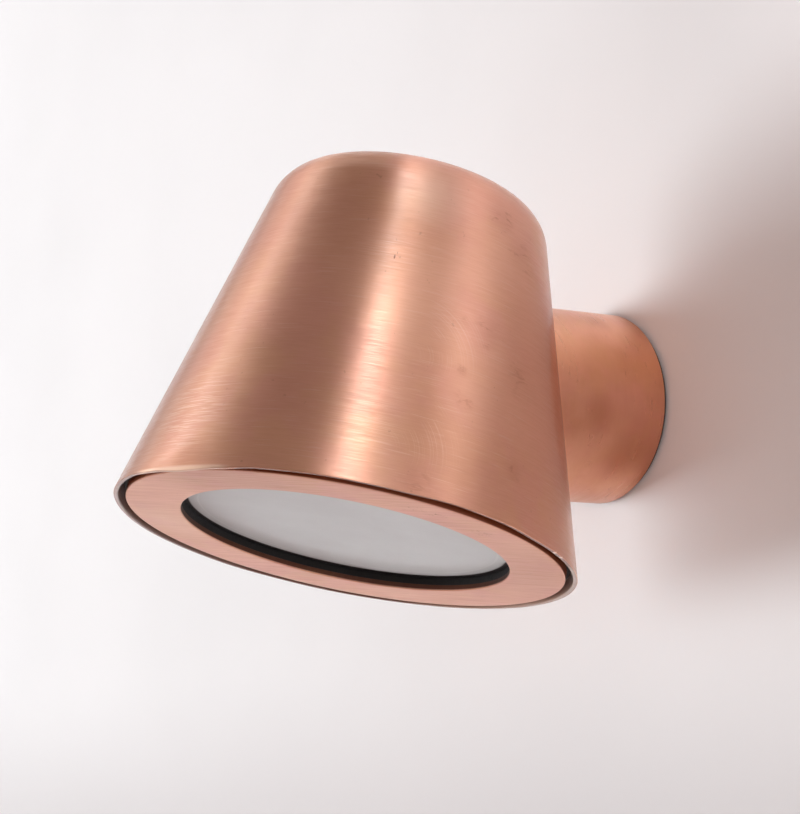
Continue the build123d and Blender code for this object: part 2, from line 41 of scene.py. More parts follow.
def rgb(tone):
    # six hex digits, as a colour picker shows them, into a linear colour
    parts = [int(tone[i:i + 2], 16) / 255 for i in (0, 2, 4)]
    return tuple(p / 12.92 if p <= 0.04045 else ((p + 0.055) / 1.055) ** 2.4 for p in parts) + (1.0,)


def radians(turns):
    return tuple(math.radians(a) for a in turns)


class Flow:
    # one output of a shader node, so that shader maths reads as plain sums
    def __init__(self, finish, socket):
        self.finish = finish
        self.socket = socket

    def out(self, name):
        return Flow(self.finish, self.socket.node.outputs[name])

    def maths(self, operation, *values):
        return self.finish.node("ShaderNodeMath", {"operation": operation}, dict(enumerate(values)))

    def __abs__(self):
        return self.maths("ABSOLUTE", self)

    def __add__(self, other):
        return self.maths("ADD", self, other)

    def __radd__(self, other):
        return self.maths("ADD", other, self)

    def __sub__(self, other):
        return self.maths("SUBTRACT", self, other)

    def __rsub__(self, other):
        return self.maths("SUBTRACT", other, self)

    def __mul__(self, other):
        return self.maths("MULTIPLY", self, other)

    def __rmul__(self, other):
        return self.maths("MULTIPLY", other, self)

    def __truediv__(self, other):
        return self.maths("DIVIDE", self, other)

    def __rtruediv__(self, other):
        return self.maths("DIVIDE", other, self)


class Finish:
    # a material, or the world, and the nodes that make it
    def __init__(self, name, fixed=None, world=False):
        self.block = (bpy.data.worlds if world else bpy.data.materials).new(name)
        self.block.use_nodes = True
        self.tree = self.block.node_tree
        self.surface = self.tree.nodes["Background" if world else "Principled BSDF"]
        for socket, value in (fixed or {}).items():
            self.surface.inputs[socket].default_value = value

    def node(self, kind, settings=None, values=None, out=0):
        # any node: its settings, what goes into its inputs, and the output to take
        made = self.tree.nodes.new(kind)
        for key, value in (settings or {}).items():
            setattr(made, key, value)
        for key, value in (values or {}).items():
            if isinstance(value, Flow):
                self.tree.links.new(value.socket, made.inputs[key])
            else:
                made.inputs[key].default_value = value
        return Flow(self, made.outputs[out])

    def vector(self, operation, *values, out="Vector"):
        return self.node("ShaderNodeVectorMath", {"operation": operation}, dict(enumerate(values)), out)

    def place(self, scale=(1, 1, 1), turn=(0, 0, 0), shift=(0, 0, 0), spin=(0, 0, 0)):
        # a turn comes before the scale; a spin after it keeps a noise's own grid from showing
        spot = self.node("ShaderNodeTexCoord", out="Object")
        if any(turn):
            spot = self.node("ShaderNodeMapping", {}, {"Vector": spot, "Rotation": radians(turn)})
        return self.node("ShaderNodeMapping", {}, {
            "Vector": spot, "Scale": scale, "Location": shift, "Rotation": radians(spin)})

    def noise(self, where, scale=1, detail=4, rough=0.5, twist=0):
        return self.node("ShaderNodeTexNoise", {}, {
            "Vector": where, "Scale": scale, "Detail": detail, "Roughness": rough, "Distortion": twist})

    def span(self, flow, low, high, to=(0, 1), curve="SMOOTHSTEP"):
        return self.node("ShaderNodeMapRange", {"interpolation_type": curve}, {
            0: flow, 1: low, 2: high, 3: to[0], 4: to[1]})

    def blend(self, share, first, second):
        return self.node("ShaderNodeMix", {"data_type": "RGBA"}, {0: share, 6: first, 7: second}, 2)

    def away(self, spot, scale=(1, 1, 1)):
        # how far it is to a spot, in a space that may be squeezed
        squeezed = tuple(a * b for a, b in zip(spot, scale))
        return self.vector("DISTANCE", self.place(scale), squeezed, out="Value")

    def near(self, spot, reach, scale=(1, 1, 1), core=0):
        # 1 at a spot, falling to 0 at its reach
        return self.span(self.away(spot, scale), core, reach, (1, 0))

    def radius(self):
        # the distance from the piece's own axis, and the height along it
        spot = self.node("ShaderNodeTexCoord", out="Object")
        flat = self.vector("MULTIPLY", spot, (1, 1, 0))
        height = self.node("ShaderNodeSeparateXYZ", {}, {0: spot}, "Z")
        return self.vector("LENGTH", flat, out="Value"), height

    def bump(self, height, depth, strength, under=None):
        values = {"Height": height, "Distance": depth, "Strength": strength}
        if under:
            values["Normal"] = under
        return self.node("ShaderNodeBump", {}, values)

    def mixShader(self, share, other):
        # puts another shader over this one, by a share
        plain = Flow(self, self.surface.outputs[0])
        mixed = self.node("ShaderNodeMixShader", {}, {0: share, 1: plain, 2: other})
        self.tree.links.new(mixed.socket, self.tree.nodes["Material Output"].inputs["Surface"])

    def feed(self, flows):
        for socket, flow in flows.items():
            self.tree.links.new(flow.socket, self.surface.inputs[socket])
        return self.block


# Camera, at the photograph's angle
camera = {
    "place": (0.51809, -0.44184, -0.09649),
    "aim": (-0.04466, -0.03462, 0.00405),
    "roll": -1.18,
    "lens": 114.44,
    "sensor": 36,
    "nearest": 0.01,
}


def setCamera():
    lens = bpy.data.cameras.new("photoCamera")
    lens.lens = camera["lens"]
    lens.sensor_width = camera["sensor"]
    lens.clip_start = camera["nearest"]
    holder = bpy.data.objects.new("photoCamera", lens)
    bpy.context.scene.collection.objects.link(holder)
    look = Vector(camera["aim"]) - Vector(camera["place"])
    turn = look.to_track_quat("-Z", "Y").to_matrix().to_4x4()
    roll = Matrix.Rotation(math.radians(camera["roll"]), 4, "Z")
    holder.matrix_world = Matrix.Translation(camera["place"]) @ turn @ roll
    bpy.context.scene.camera = holder


# Room: a pale wall behind the light, a pale floor below it, and soft lamps
room = {
    "wall": "f5f3f4",
    "wallShade": "efedee",
    # the tone of the wall's painted shade
    "wallPaintedShade": "dcd8d9",
    "wallFixed": {"Roughness": 0.9, "Specular IOR Level": 0.2},
    "wallPatches": 6,
    "wallGrain": 420,
    "wallRelief": 0.00005,
    # painted shade on the wall: heights from which it darkens downwards, and where it darkens at the upper right
    "paintedShadeHeights": (-0.055, -0.13),
    "paintedShadeCorner": (0.14, 0, 0.15),
    "paintedShadeReach": 0.225,
    "wallBack": 0.0004,
    "wallOpening": 0.0225,
    "wallSteps": 96,
    "reach": 3.0,
    "floor": "f0edec",
    "floorFixed": {"Roughness": 0.85, "Specular IOR Level": 0.2},
    "floorPatches": 4,
    "floorDrop": 0.7,
    # how much of the floor's own light the lens sees, and how strong that is
    "floorSeen": 0.5,
    "floorGlow": 0.95,
    "sky": "ecebea",
    "skySeen": 0.95,
    "skyInMetal": 1.15,
    "skyFill": 0.56,
    "fill": "ebd6cf",
    "dusk": "827470",
    "duskAzimuth": 8,
    "duskWidth": (54, 30),
    # and how level a ray has to be to meet it
    "duskLevel": (0.1, 0.4),
}
# Lamps: where each stands as seen from its aim, its size and its beam; panels show in metal only
windowLeft = {
    "azimuth": -56, "elevation": -5, "distance": 1.8, "size": (0.95, 0.95), "watts": 5.1,
    "tint": "effbff", "inMetal": False, "aim": (-0.20, -0.03, 0.10), "spread": 54,
}
washRight = {
    "azimuth": 62, "elevation": 6, "distance": 0.7, "size": (0.2, 0.2), "watts": 0.038,
    "tint": "fffaf8", "inMetal": False, "aim": (0.04, 0, 0), "spread": 40,
}
washFar = {
    "azimuth": 15, "elevation": 6, "distance": 0.7, "size": (0.05, 0.05), "watts": 0.09,
    "tint": "fffaf8", "inMetal": False, "aim": (0.205, 0, 0.147), "spread": 23,
}
panelLeft = {
    "azimuth": -59, "elevation": 32, "distance": 1.2, "size": (0.2, 1.2), "watts": 1.0,
    "tint": "fffdfb", "inMetal": True, "aim": (0, -0.085, 0), "spread": 180,
}
panelCamera = {
    "azimuth": 64, "elevation": 42, "distance": 1.2, "size": (0.13, 1.3), "watts": 2.5,
    "tint": "fafdff", "inMetal": True, "aim": (0, -0.085, 0), "spread": 180,
}
panelLow = {
    "azimuth": -32, "elevation": -7, "distance": 1.2, "size": (0.3, 0.24), "watts": 0.5,
    "tint": "fff4ea", "inMetal": True, "aim": (0, -0.085, 0), "spread": 180,
}


def flatStage(name, corners, faces, finish):
    mesh = bpy.data.meshes.new(name)
    mesh.from_pydata(corners, [], faces)
    mesh.materials.append(finish)
    piece = bpy.data.objects.new(name, mesh)
    bpy.context.scene.collection.objects.link(piece)


def wallFinish():
    # plaster on its front, and nothing at all from behind
    coat = Finish("wallPlaster", room["wallFixed"])
    patch = coat.noise(coat.place(), room["wallPatches"], 3, 0.5)
    grain = coat.noise(coat.place(), room["wallGrain"], 3, 0.6)
    tone = coat.blend(coat.span(patch, 0.35, 0.7), rgb(room["wall"]), rgb(room["wallShade"]))
    height = coat.node("ShaderNodeSeparateXYZ", {}, {0: coat.place()}, "Z")
    # painted shade, seen by the lens only: a little darker low down and at the upper right
    seen = coat.node("ShaderNodeLightPath", out="Is Camera Ray")
    for paintedShade in (coat.span(height, *room["paintedShadeHeights"]), coat.near(room["paintedShadeCorner"], room["paintedShadeReach"])):
        tone = coat.blend(paintedShade * seen, tone, rgb(room["wallPaintedShade"]))
    coat.feed({
        "Base Color": tone,
        "Normal": coat.bump(grain, room["wallRelief"], 0.3),
    })
    behind = coat.node("ShaderNodeNewGeometry", out="Backfacing")
    coat.mixShader(behind, coat.node("ShaderNodeBsdfTransparent"))
    return coat.block


def floorFinish():
    coat = Finish("floorPaper", room["floorFixed"])
    patch = coat.noise(coat.place(), room["floorPatches"], 2, 0.5)
    tone = coat.blend(patch, rgb(room["floor"]), rgb(room["wallShade"]))
    coat.feed({"Base Color": tone})
    # pale to the lens, and it still keeps half of each shadow
    glow = coat.node("ShaderNodeEmission", {}, {"Color": tone, "Strength": room["floorGlow"]})
    seen = coat.node("ShaderNodeLightPath", out="Is Camera Ray")
    coat.mixShader(seen * room["floorSeen"], glow)
    return coat.block


def setRoom():
    # the wall is open behind the stem, so that light reaches the stem's back end
    far, low, steps = room["reach"], -room["floorDrop"], room["wallSteps"]
    corners = []
    for radius in (room["wallOpening"], far):
        for k in range(steps):
            a = 2 * math.pi * k / steps
            corners.append((radius * math.cos(a), room["wallBack"], radius * math.sin(a)))
    faces = [(k, steps + k, steps + (k + 1) % steps, (k + 1) % steps) for k in range(steps)]
    flatStage("wall", corners, faces, wallFinish())
    corners = [(-far, -far, low), (far, -far, low), (far, far, low), (-far, far, low)]
    flatStage("floor", corners, [(0, 1, 2, 3)], floorFinish())


def setSky():
    # pale all round, and duller straight out from the wall, where the room lies
    sky = Finish("roomLight", world=True)
    ray = sky.node("ShaderNodeLightPath", out="Is Camera Ray")
    glossy = ray.out("Is Glossy Ray")
    seen = ray.maths("MAXIMUM", ray, ray.out("Is Transmission Ray"))
    way = sky.node("ShaderNodeTexCoord", out="Generated")
    flat = sky.vector("MULTIPLY", way, (1, 1, 0))
    middle = math.radians(room["duskAzimuth"])
    ahead = (math.sin(middle), -math.cos(middle), 0)
    facing = sky.vector("DOT_PRODUCT", sky.vector("NORMALIZE", flat), ahead, out="Value")
    reach = sky.vector("LENGTH", flat, out="Value")
    wide, narrow = (math.cos(math.radians(a)) for a in room["duskWidth"])
    dusk = sky.span(facing, wide, narrow) * sky.span(reach, *room["duskLevel"])
    strength = room["skyFill"] + (room["skySeen"] - room["skyFill"]) * seen
    strength = strength + (room["skyInMetal"] - room["skyFill"]) * glossy
    tone = sky.blend(dusk * glossy, rgb(room["sky"]), rgb(room["dusk"]))
    sky.feed({"Color": sky.blend(seen + glossy, rgb(room["fill"]), tone), "Strength": strength})
    bpy.context.scene.world = sky.block


def setLamp(name, lamp):
    light = bpy.data.lights.new(name, "AREA")
    light.shape = "RECTANGLE"
    light.size, light.size_y = lamp["size"]
    light.energy = lamp["watts"]
    light.spread = math.radians(lamp["spread"])
    light.color = rgb(lamp["tint"])[:3]
    a, e = radians((lamp["azimuth"], lamp["elevation"]))
    way = Vector((math.sin(a) * math.cos(e), -math.cos(a) * math.cos(e), math.sin(e)))
    place = Matrix.Translation(Vector(lamp["aim"]) + way * lamp["distance"])
    holder = bpy.data.objects.new(name, light)
    bpy.context.scene.collection.objects.link(holder)
    holder.matrix_world = place @ way.to_track_quat("Z", "Y").to_matrix().to_4x4()
    holder.visible_glossy = lamp["inMetal"]
    holder.visible_diffuse = not lamp["inMetal"]


setCamera()
setRoom()
setSky()
setLamp("windowLeft", windowLeft)
setLamp("washRight", washRight)
setLamp("washFar", washFar)
setLamp("panelLeft", panelLeft)
setLamp("panelCamera", panelCamera)
setLamp("panelLow", panelLow)
bpy.context.scene.view_settings.view_transform = "Standard"
print("camera, room and lamps are set")


# The shade's own frame, as in the model: the mouth's centre, and up inside the cone
shade = {
    "mouthRadius": 57.5,
    "crownRadius": 33.1,
    "height": 92.2,
    "crownRounding": 12.0,
    "wall": 1.1,
    "lipRounding": (0.15, 0.3),
    "lipFade": 4.0,
    # how far the lip stands out of true, by the turn round the mouth, as cut by hand
    "lipDrop": [(-180, 0.4), (-150, 0.5), (-125, 0.2), (-100, 0.1), (-88, 0.5), (-78, 0.9), (-66, 0.6),
                (-55, 0), (-40, -0.25), (-22, -0.3), (-8, -0.7), (4, -0.6), (18, -0.1), (60, 0),
                (120, 0.1), (160, 0.2), (180, 0.4)],
    # where it is pressed in a little: turn, half width, depth
    "lipDent": (-79, 17, 0.8),
    # heights that get a row of points each, for the lip's shape
    "lipRows": (0.5, 1.0, 1.6, 2.4, 3.2),
    "mouth": (0, -0.084386, -0.0383),
    "nippleHole": 5.2,
    "nippleHoleReach": (26, 34),
    "nippleHoleSteps": 48,
    "longest": 4,
    "steps": 320,
}
taper = (shade["mouthRadius"] - shade["crownRadius"]) / shade["height"]
lean = math.atan(taper)
shadeFrame = Matrix.Translation(shade["mouth"]) @ Matrix.Rotation(-lean, 4, "X")


# How a section is drawn, in millimetres
drawn = {
    # the fewest steps in a rounding, and the longest one
    "arcSteps": 8,
    "arcStep": 0.35,
    # a run of more steps than this is a long one
    "longRun": 9,
    # a point nearer to the axis than this is on it
    "onAxis": 1e-6,
}


def soften(corners, closed=False):
    # rounds the corners of a section: each is (radius, height, rounding)
    points = []
    count = len(corners)
    for i, (x, y, rounding) in enumerate(corners):
        here = Vector((x, y))
        ends = not closed and i in (0, count - 1)
        if rounding <= 0 or ends:
            points.append((x, y, True))
            continue
        before = (Vector(corners[i - 1][:2]) - here).normalized()
        after = (Vector(corners[(i + 1) % count][:2]) - here).normalized()
        half = before.angle(after) / 2
        centre = here + (before + after).normalized() * rounding / math.sin(half)
        first = here + before * rounding / math.tan(half) - centre
        last = here + after * rounding / math.tan(half) - centre
        sweep = math.atan2(first.x * last.y - first.y * last.x, first.dot(last))
        steps = max(drawn["arcSteps"], int(abs(sweep) * rounding / drawn["arcStep"]))
        for k in range(steps + 1):
            t = sweep * k / steps
            c, s = math.cos(t), math.sin(t)
            points.append((centre.x + first.x * c - first.y * s, centre.y + first.x * s + first.y * c, False))
    return points


def filled(points, longest, extra=()):
    # more points along the straight runs of a section, and at some heights of its long ones
    made = []
    for a, b in zip(points, points[1:]):
        made.append(a)
        steps = int(math.hypot(b[0] - a[0], b[1] - a[1]) / longest)
        shares = [k / steps for k in range(1, steps)]
        if steps > drawn["longRun"] and a[1] != b[1]:
            shares += [(h - a[1]) / (b[1] - a[1]) for h in extra if min(a[1], b[1]) < h < max(a[1], b[1])]
        for t in sorted(shares):
            made.append((a[0] + (b[0] - a[0]) * t, a[1] + (b[1] - a[1]) * t, False))
    return made + [points[-1]]


def turnPiece(name, points, steps, matrix, closed=False, shape=None):
    # turns a section about +Z; points are (radius, height, sharp) in millimetres
    mesh = bpy.data.meshes.new(name)
    work = bmesh.new()
    uv = work.loops.layers.uv.new("UVMap")
    rows = []
    for radius, height, sharp in points:
        if radius < drawn["onAxis"]:
            rows.append([work.verts.new((0, 0, height * mm))] * steps)
            continue
        row = []
        for k in range(steps):
            a = 2 * math.pi * k / steps
            r, h = shape(radius, height, a) if shape else (radius, height)
            row.append(work.verts.new((r * math.cos(a) * mm, r * math.sin(a) * mm, h * mm)))
        rows.append(row)
    lengths = [0]
    for a, b in zip(points, points[1:] + points[:1]):
        lengths.append(lengths[-1] + math.hypot(b[0] - a[0], b[1] - a[1]))
    for i in range(len(points) if closed else len(points) - 1):
        low, high = rows[i], rows[(i + 1) % len(rows)]
        for k in range(steps):
            n = (k + 1) % steps
            corners, spots = [], []
            for vert, u, v in ((low[k], k, i), (low[n], k + 1, i), (high[n], k + 1, i + 1), (high[k], k, i + 1)):
                if vert not in corners:
                    corners.append(vert)
                    spots.append((u / steps, lengths[v] / lengths[-1]))
            face = work.faces.new(corners)
            face.smooth = True
            for loop, spot in zip(face.loops, spots):
                loop[uv].uv = spot
    for (radius, height, sharp), row in zip(points, rows):
        if sharp and radius > drawn["onAxis"]:
            for k in range(steps):
                edge = work.edges.get((row[k], row[(k + 1) % steps]))
                if edge:
                    edge.smooth = False
    bmesh.ops.recalc_face_normals(work, faces=work.faces)
    work.to_mesh(mesh)
    work.free()
    piece = bpy.data.objects.new(name, mesh)
    bpy.context.scene.collection.objects.link(piece)
    piece.matrix_world = matrix
    return piece


def cutAway(piece, cutters):
    # takes other shapes out of a piece, and keeps the result as its own mesh
    for cutter in cutters:
        cut = piece.modifiers.new(cutter.name, "BOOLEAN")
        cut.operation = "DIFFERENCE"
        cut.solver = "EXACT"
        cut.object = cutter
    bpy.context.view_layer.update()
    ready = piece.evaluated_get(bpy.context.evaluated_depsgraph_get())
    mesh = bpy.data.meshes.new_from_object(ready)
    piece.modifiers.clear()
    old, piece.data = piece.data, mesh
    bpy.data.meshes.remove(old)
    for cutter in cutters:
        bpy.data.objects.remove(cutter)


def dress(piece, body, finish, node):
    piece.data.materials.clear()
    piece.data.materials.append(finish)
    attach(piece, body)
    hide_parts(node)


# Copper: brushed, with pink and tan patches, faint smears and fine scratches
copper = {
    "clean": "edb49b",
    "rosy": "e8aa97",
    "tan": "e8af92",
    "dull": "c68f74",
    "smear": "7d3f2c",
    # pale and cream: bright scratches and strokes, and also painted highlights
    "pale": "f6cfb8",
    "cream": "ffdcc4",
    "edge": "9c8582",
    # rim, gap, inside and bore: tones for painted shade on the lip's face, in the gap by the ring, inside the cone
    # and on the ring's hidden walls
    "rim": "b08a76",
    "gap": "87411f",
    "inside": "6e4838",
    "bore": "4a2b1f",
    "mark": "a55a3a",
    "glow": "f6b488",
    "patches": 26,
    "roughness": (0.33, 0.47),
}


class Copper(Finish):
    # the parts of a copper finish, put on one after the other
    def __init__(self, name, patches=copper["patches"], dullness=0.3, fixed=None):
        super().__init__(name, {"Metallic": 1.0, **(fixed or {})})
        cloud = self.noise(self.place(), patches, 3, 0.5)
        hue = self.noise(self.place(shift=(3, 1, 2)), patches * 1.8, 4, 0.55)
        self.tint = self.blend(self.span(hue, 0.4, 0.62), rgb(copper["rosy"]), rgb(copper["tan"]))
        self.tint = self.blend(self.span(cloud, 0.35, 0.55), rgb(copper["clean"]), self.tint)
        self.tint = self.blend(self.span(cloud, 0.52, 0.75) * dullness, self.tint, rgb(copper["dull"]))
        self.height = None
        self.rough = None
        self.dullness = None

    def brush(self, where, depth, rough=copper["roughness"], darkness=0.06):
        # fine lines, in the roughness and the relief more than in the colour
        lines = self.noise(where, 1, 4, 0.7)
        self.tint = self.blend(self.span(lines, 0.3, 0.7, (0.0, darkness)), self.tint, rgb(copper["smear"]))
        self.rough = self.span(lines, 0.36, 0.64, rough, "LINEAR")
        self.height = self.bump(lines, depth, 0.5, self.height)

    def smear(self, share, tone="smear"):
        self.tint = self.blend(share, self.tint, rgb(copper[tone]))

    def dull(self, share, tone):
        # a duller tone that hides the metal's shine: the cut edge's own, and painted shade in gaps, inside the
        # cone and on one side of the lip
        self.smear(share, tone)
        self.dullness = share if self.dullness is None else self.dullness.maths("MAXIMUM", self.dullness, share)

    def side(self, radius, turn, low, high):
        # 1 on the side that lies at a turn round the piece's own axis, and 0 away from it
        spot = self.node("ShaderNodeTexCoord", out="Object")
        way = (math.cos(math.radians(turn)), math.sin(math.radians(turn)), 0)
        return self.span(self.vector("DOT_PRODUCT", spot, way, out="Value") / radius, low, high)

    def clouds(self, marks):
        # one soft mark after the other: where, how far, how strong, its tone, and perhaps
        # how its reach is squeezed and how much of it is even
        for spot, reach, strength, tone, *form in marks:
            self.smear(self.near(spot, reach, *form) * strength, tone)

    def scribble(self, spot, reach, strength, scale=90):
        # soft brown marks round a spot, longer along the brushing
        wander = self.noise(self.place((scale, scale, scale * 2.6), shift=(7, 2, 5)), 1, 4, 0.6, 0.6)
        thin = self.span(abs(wander - 0.5), 0.0, 0.05, (1, 0))
        broken = self.span(self.noise(self.place(), scale * 1.9, 3, 0.6), 0.42, 0.6)
        self.smear(self.near(spot, reach) * (thin * broken * strength + 0.09), "mark")

    def swirl(self, spot, reach, centre, strength):
        # fine arcs round a centre, seen only near a spot
        rings = self.node("ShaderNodeTexNoise", {"noise_dimensions": "1D"}, {
            "W": self.away(centre), "Scale": 2600, "Detail": 2, "Roughness": 0.6})
        arcs = self.span(rings, 0.56, 0.66) * self.span(self.noise(self.place(), 120, 2, 0.5), 0.42, 0.58)
        self.smear(arcs * self.near(spot, reach) * strength, "pale")

    def dashes(self, spot, reach, strength):
        # short bright strokes of the brush
        strokes = self.noise(self.place((130, 130, 4600), shift=(5, 3, 8), spin=(27, 15, 6)), 1, 2, 0.5)
        self.smear(self.span(strokes, 0.52, 0.6) * self.near(spot, reach) * strength, "cream")

    def specks(self, strength):
        self.smear(self.span(self.noise(self.place(), 620, 2, 0.6), 0.7, 0.78) * strength)

    def done(self):
        if self.dullness:
            self.feed({"Metallic": 1 - self.dullness})
        return self.feed({"Base Color": self.tint, "Roughness": self.rough, "Normal": self.height})


# Shade: one spun cone with a rounded crown and a thin lip that is not quite true
def lipShape(radius, height, turn):
    if height > shade["lipFade"]:
        return radius, height
    angle = (math.degrees(turn) + 180) % 360 - 180
    drop = 0
    for (a, low), (b, high) in zip(shade["lipDrop"], shade["lipDrop"][1:]):
        if a <= angle <= b:
            drop = low + (high - low) * (1 - math.cos(math.pi * (angle - a) / (b - a))) / 2
    middle, half, depth = shade["lipDent"]
    dent = (1 + math.cos(math.pi * min(1, abs(angle - middle) / half))) / 2 * depth
    share = 1 - max(0, height) / shade["lipFade"]
    return radius - dent * share ** 2, height - drop * share


# The cone's marks: where each is, how far it reaches, and how strong it is
shadeClouds = [
    ((0.0505, -0.0100, 0.0180), 0.034, 0.1, "mark"),
    ((0.0110, -0.0370, 0.0700), 0.026, 0.2, "mark"),
    ((0.0460, -0.0178, 0.0280), 0.013, 0.13, "mark", (1, 1, 0.35), 0.002),
    # painted highlight: a cream patch that widens the bright band near the crown
    ((0.0326, -0.0167, 0.0790), 0.013, 0.42, "cream"),
    ((0.0131, -0.0545, 0.0030), 0.008, 0.3, "mark"),
]
shadeScribbles = [
    ((0.0365, 0.0032, 0.0790), 0.006, 0.5),
    ((0.0374, 0.0095, 0.0715), 0.007, 0.4),
    ((0.0452, -0.0009, 0.0465), 0.006, 0.4),
    ((0.0477, -0.0082, 0.0345), 0.003, 0.3),
    ((0.0443, -0.0082, 0.0470), 0.003, 0.3),
    ((0.0532, 0.0076, 0.0143), 0.004, 0.35),
    ((0.0463, 0.0094, 0.0386), 0.008, 0.2),
    ((0.0497, -0.0073, 0.0274), 0.004, 0.25),
    ((0.0532, -0.0189, 0.0039), 0.006, 0.25),
]
shadeSwirls = [
    # these turn about a centre of their own, given third
    ((0.0444, -0.0115, 0.0441), 0.016, (0.0435, -0.0209, 0.035), 0.4),
    ((0.0506, -0.0158, 0.0172), 0.014, (0.0480, -0.0280, 0.010), 0.3),
]
shadeNicks = [
    ((0.0341, -0.0240, 0.0600), 0.00026, 0.9, "smear", (1, 1, 0.2), 0.0001),
    ((0.0341, -0.0234, 0.0611), 0.00018, 0.6, "smear", (1, 1, 0.2)),
]
shadeDashes = [
    ((0.0061, -0.0530, 0.0150), 0.019, 0.65),
    ((0.0330, -0.0250, 0.0610), 0.010, 0.35),
    ((0.0438, -0.0305, 0.0155), 0.014, 0.25),
]
# The cone's thin edge: heights and depths in metres, and sides as a turn and how sharply it ends
shadeEdge = {
    # painted shade: a darker band down one side of the cone
    "paintedShadeSide": (-99, 0.95, 0.99),
    "dented": (-79, 0.945, 0.96),
    "dentedHeight": (0.003, 0.005),
    "dentedDepth": 0.0009,
    "hollowHeight": (0.066, 0.074),
    "lowHeight": (-0.0002, 0.0006),
    "faceDepth": (0.0001, 0.00025),
    "insideDepth": (0.0008, 0.0011),
    # front: where the lip's face gets painted shade at the near side
    "front": (-12, 0.62, 0.7),
    # pressed: where the lip gets a painted highlight
    "pressed": (-79, 0.955, 0.975),
    # rim: where the lip's face gets painted shade at the right
    "rim": (62, 0.3, 0.6),
    # two painted glints on the lip
    "glintTurns": (25.5, 29.3),
    "glintRadius": 0.0571,
    "glintReach": 0.0007,
    "glintCore": 0.0004,
}


def shadeFinish():
    finish = Copper("shadeCopper", fixed={
        "Anisotropic": 0.92,
        "Anisotropic Rotation": 0.25,
        "Specular Tint": (0.72, 0.67, 0.65, 1),
        "Coat Weight": 0.7,
        "Coat Roughness": 0.2,
    })
    finish.brush(finish.place((130, 130, 3600), spin=(31, 17, 8)), 0.00001)
    nicks = finish.noise(finish.place((420, 420, 5200), shift=(2, 6, 1), spin=(24, 11, 5)), 1, 3, 0.7)
    finish.height = finish.bump(nicks, 0.000008, 0.6, finish.height)
    # warmer low down on the side and high up in front, a painted highlight near the crown, then marks and
    # scratches
    finish.smear(0.2, "glow")
    finish.clouds(shadeClouds)
    for mark in shadeScribbles:
        finish.scribble(*mark)
    for mark in shadeSwirls:
        finish.swirl(*mark)
    finish.clouds(shadeNicks)
    for mark in shadeDashes:
        finish.dashes(*mark)
    # fine bright scratches all round, and slow waves in the brushed face
    hair = finish.noise(finish.place((110, 110, 3400), (0, 3, 0), (9, 4, 2), spin=(20, 14, 0)), 1, 2, 0.5)
    finish.smear(finish.span(hair, 0.6, 0.7) * 0.22, "pale")
    wave = finish.noise(finish.place((70, 70, 110), shift=(1, 8, 3)), 1, 3, 0.5)
    finish.height = finish.bump(wave, 0.00018, 0.5, finish.height)
    finish.specks(0.2)
    finish.rough = finish.rough + finish.near((0.0340, -0.0220, 0.0700), 0.03) * 0.14
    shadeLip(finish)
    return finish.done()


def shadeLip(finish):
    # the cut edge, duller than its face; painted shade inside the cone, on the lip's face and down one side;
    # painted highlights on the pressed lip
    edge = shadeEdge
    radius, height = finish.radius()
    # painted shade down one side of the cone, in a darker tone
    finish.smear(finish.side(radius, *edge["paintedShadeSide"]) * 0.28, "mark")
    dented = finish.side(radius, *edge["dented"]) * finish.span(height, *edge["dentedHeight"], (1, 0))
    depth = (shade["mouthRadius"] * mm - taper * height) - radius - dented * edge["dentedDepth"]
    hollow = finish.span(height, *edge["hollowHeight"], (1, 0))
    low = finish.span(height, *edge["lowHeight"], (1, 0))
    face = finish.span(depth, *edge["faceDepth"]) * hollow
    front = finish.side(radius, *edge["front"])
    pressed = finish.side(radius, *edge["pressed"])
    finish.dull(face * (1 - pressed * low) * 0.7, "edge")
    # painted shade inside the cone's hollow
    finish.dull(finish.span(depth, *edge["insideDepth"]) * hollow * 0.9, "inside")
    # painted shade on the lip's face: brown at the right, and dark red-brown at the near side beside the ring
    finish.dull(face * finish.side(radius, *edge["rim"]) * 0.8, "rim")
    finish.dull(face * front, "gap")
    # painted highlight on the pressed part of the lip
    finish.smear(pressed * low * 0.8, "cream")
    # painted glints: two cream spots on the lip
    for turn in radians(edge["glintTurns"]):
        spot = (edge["glintRadius"] * math.cos(turn), edge["glintRadius"] * math.sin(turn), 0)
        finish.smear(finish.near(spot, edge["glintReach"], core=edge["glintCore"]), "cream")


def makeShade():
    r, top, wall = shade["mouthRadius"], shade["height"], shade["wall"]
    aside = wall / math.cos(lean)
    inner = r - taper * (top - wall) - aside
    section = filled(soften([
        (0, top, 0),
        (shade["crownRadius"], top, shade["crownRounding"]),
        (r, 0, shade["lipRounding"][0]),
        (r - aside, 0, shade["lipRounding"][1]),
        (inner, top - wall, shade["crownRounding"] - wall),
        (0, top - wall, 0),
    ]), shade["longest"], shade["lipRows"])
    piece = turnPiece("shadeCone", section, shade["steps"], shadeFrame, shape=lipShape)
    wide, (start, end) = shade["nippleHole"], shade["nippleHoleReach"]
    section = [(0, start, True), (wide, start, True), (wide, end, True), (0, end, True)]
    level = Matrix.Rotation(math.radians(90), 4, "X")
    cutAway(piece, [turnPiece("nippleHole", section, shade["nippleHoleSteps"], level)])
    dress(piece, "fixture", shadeFinish(), "shade")


makeShade()
print("shade is turned")


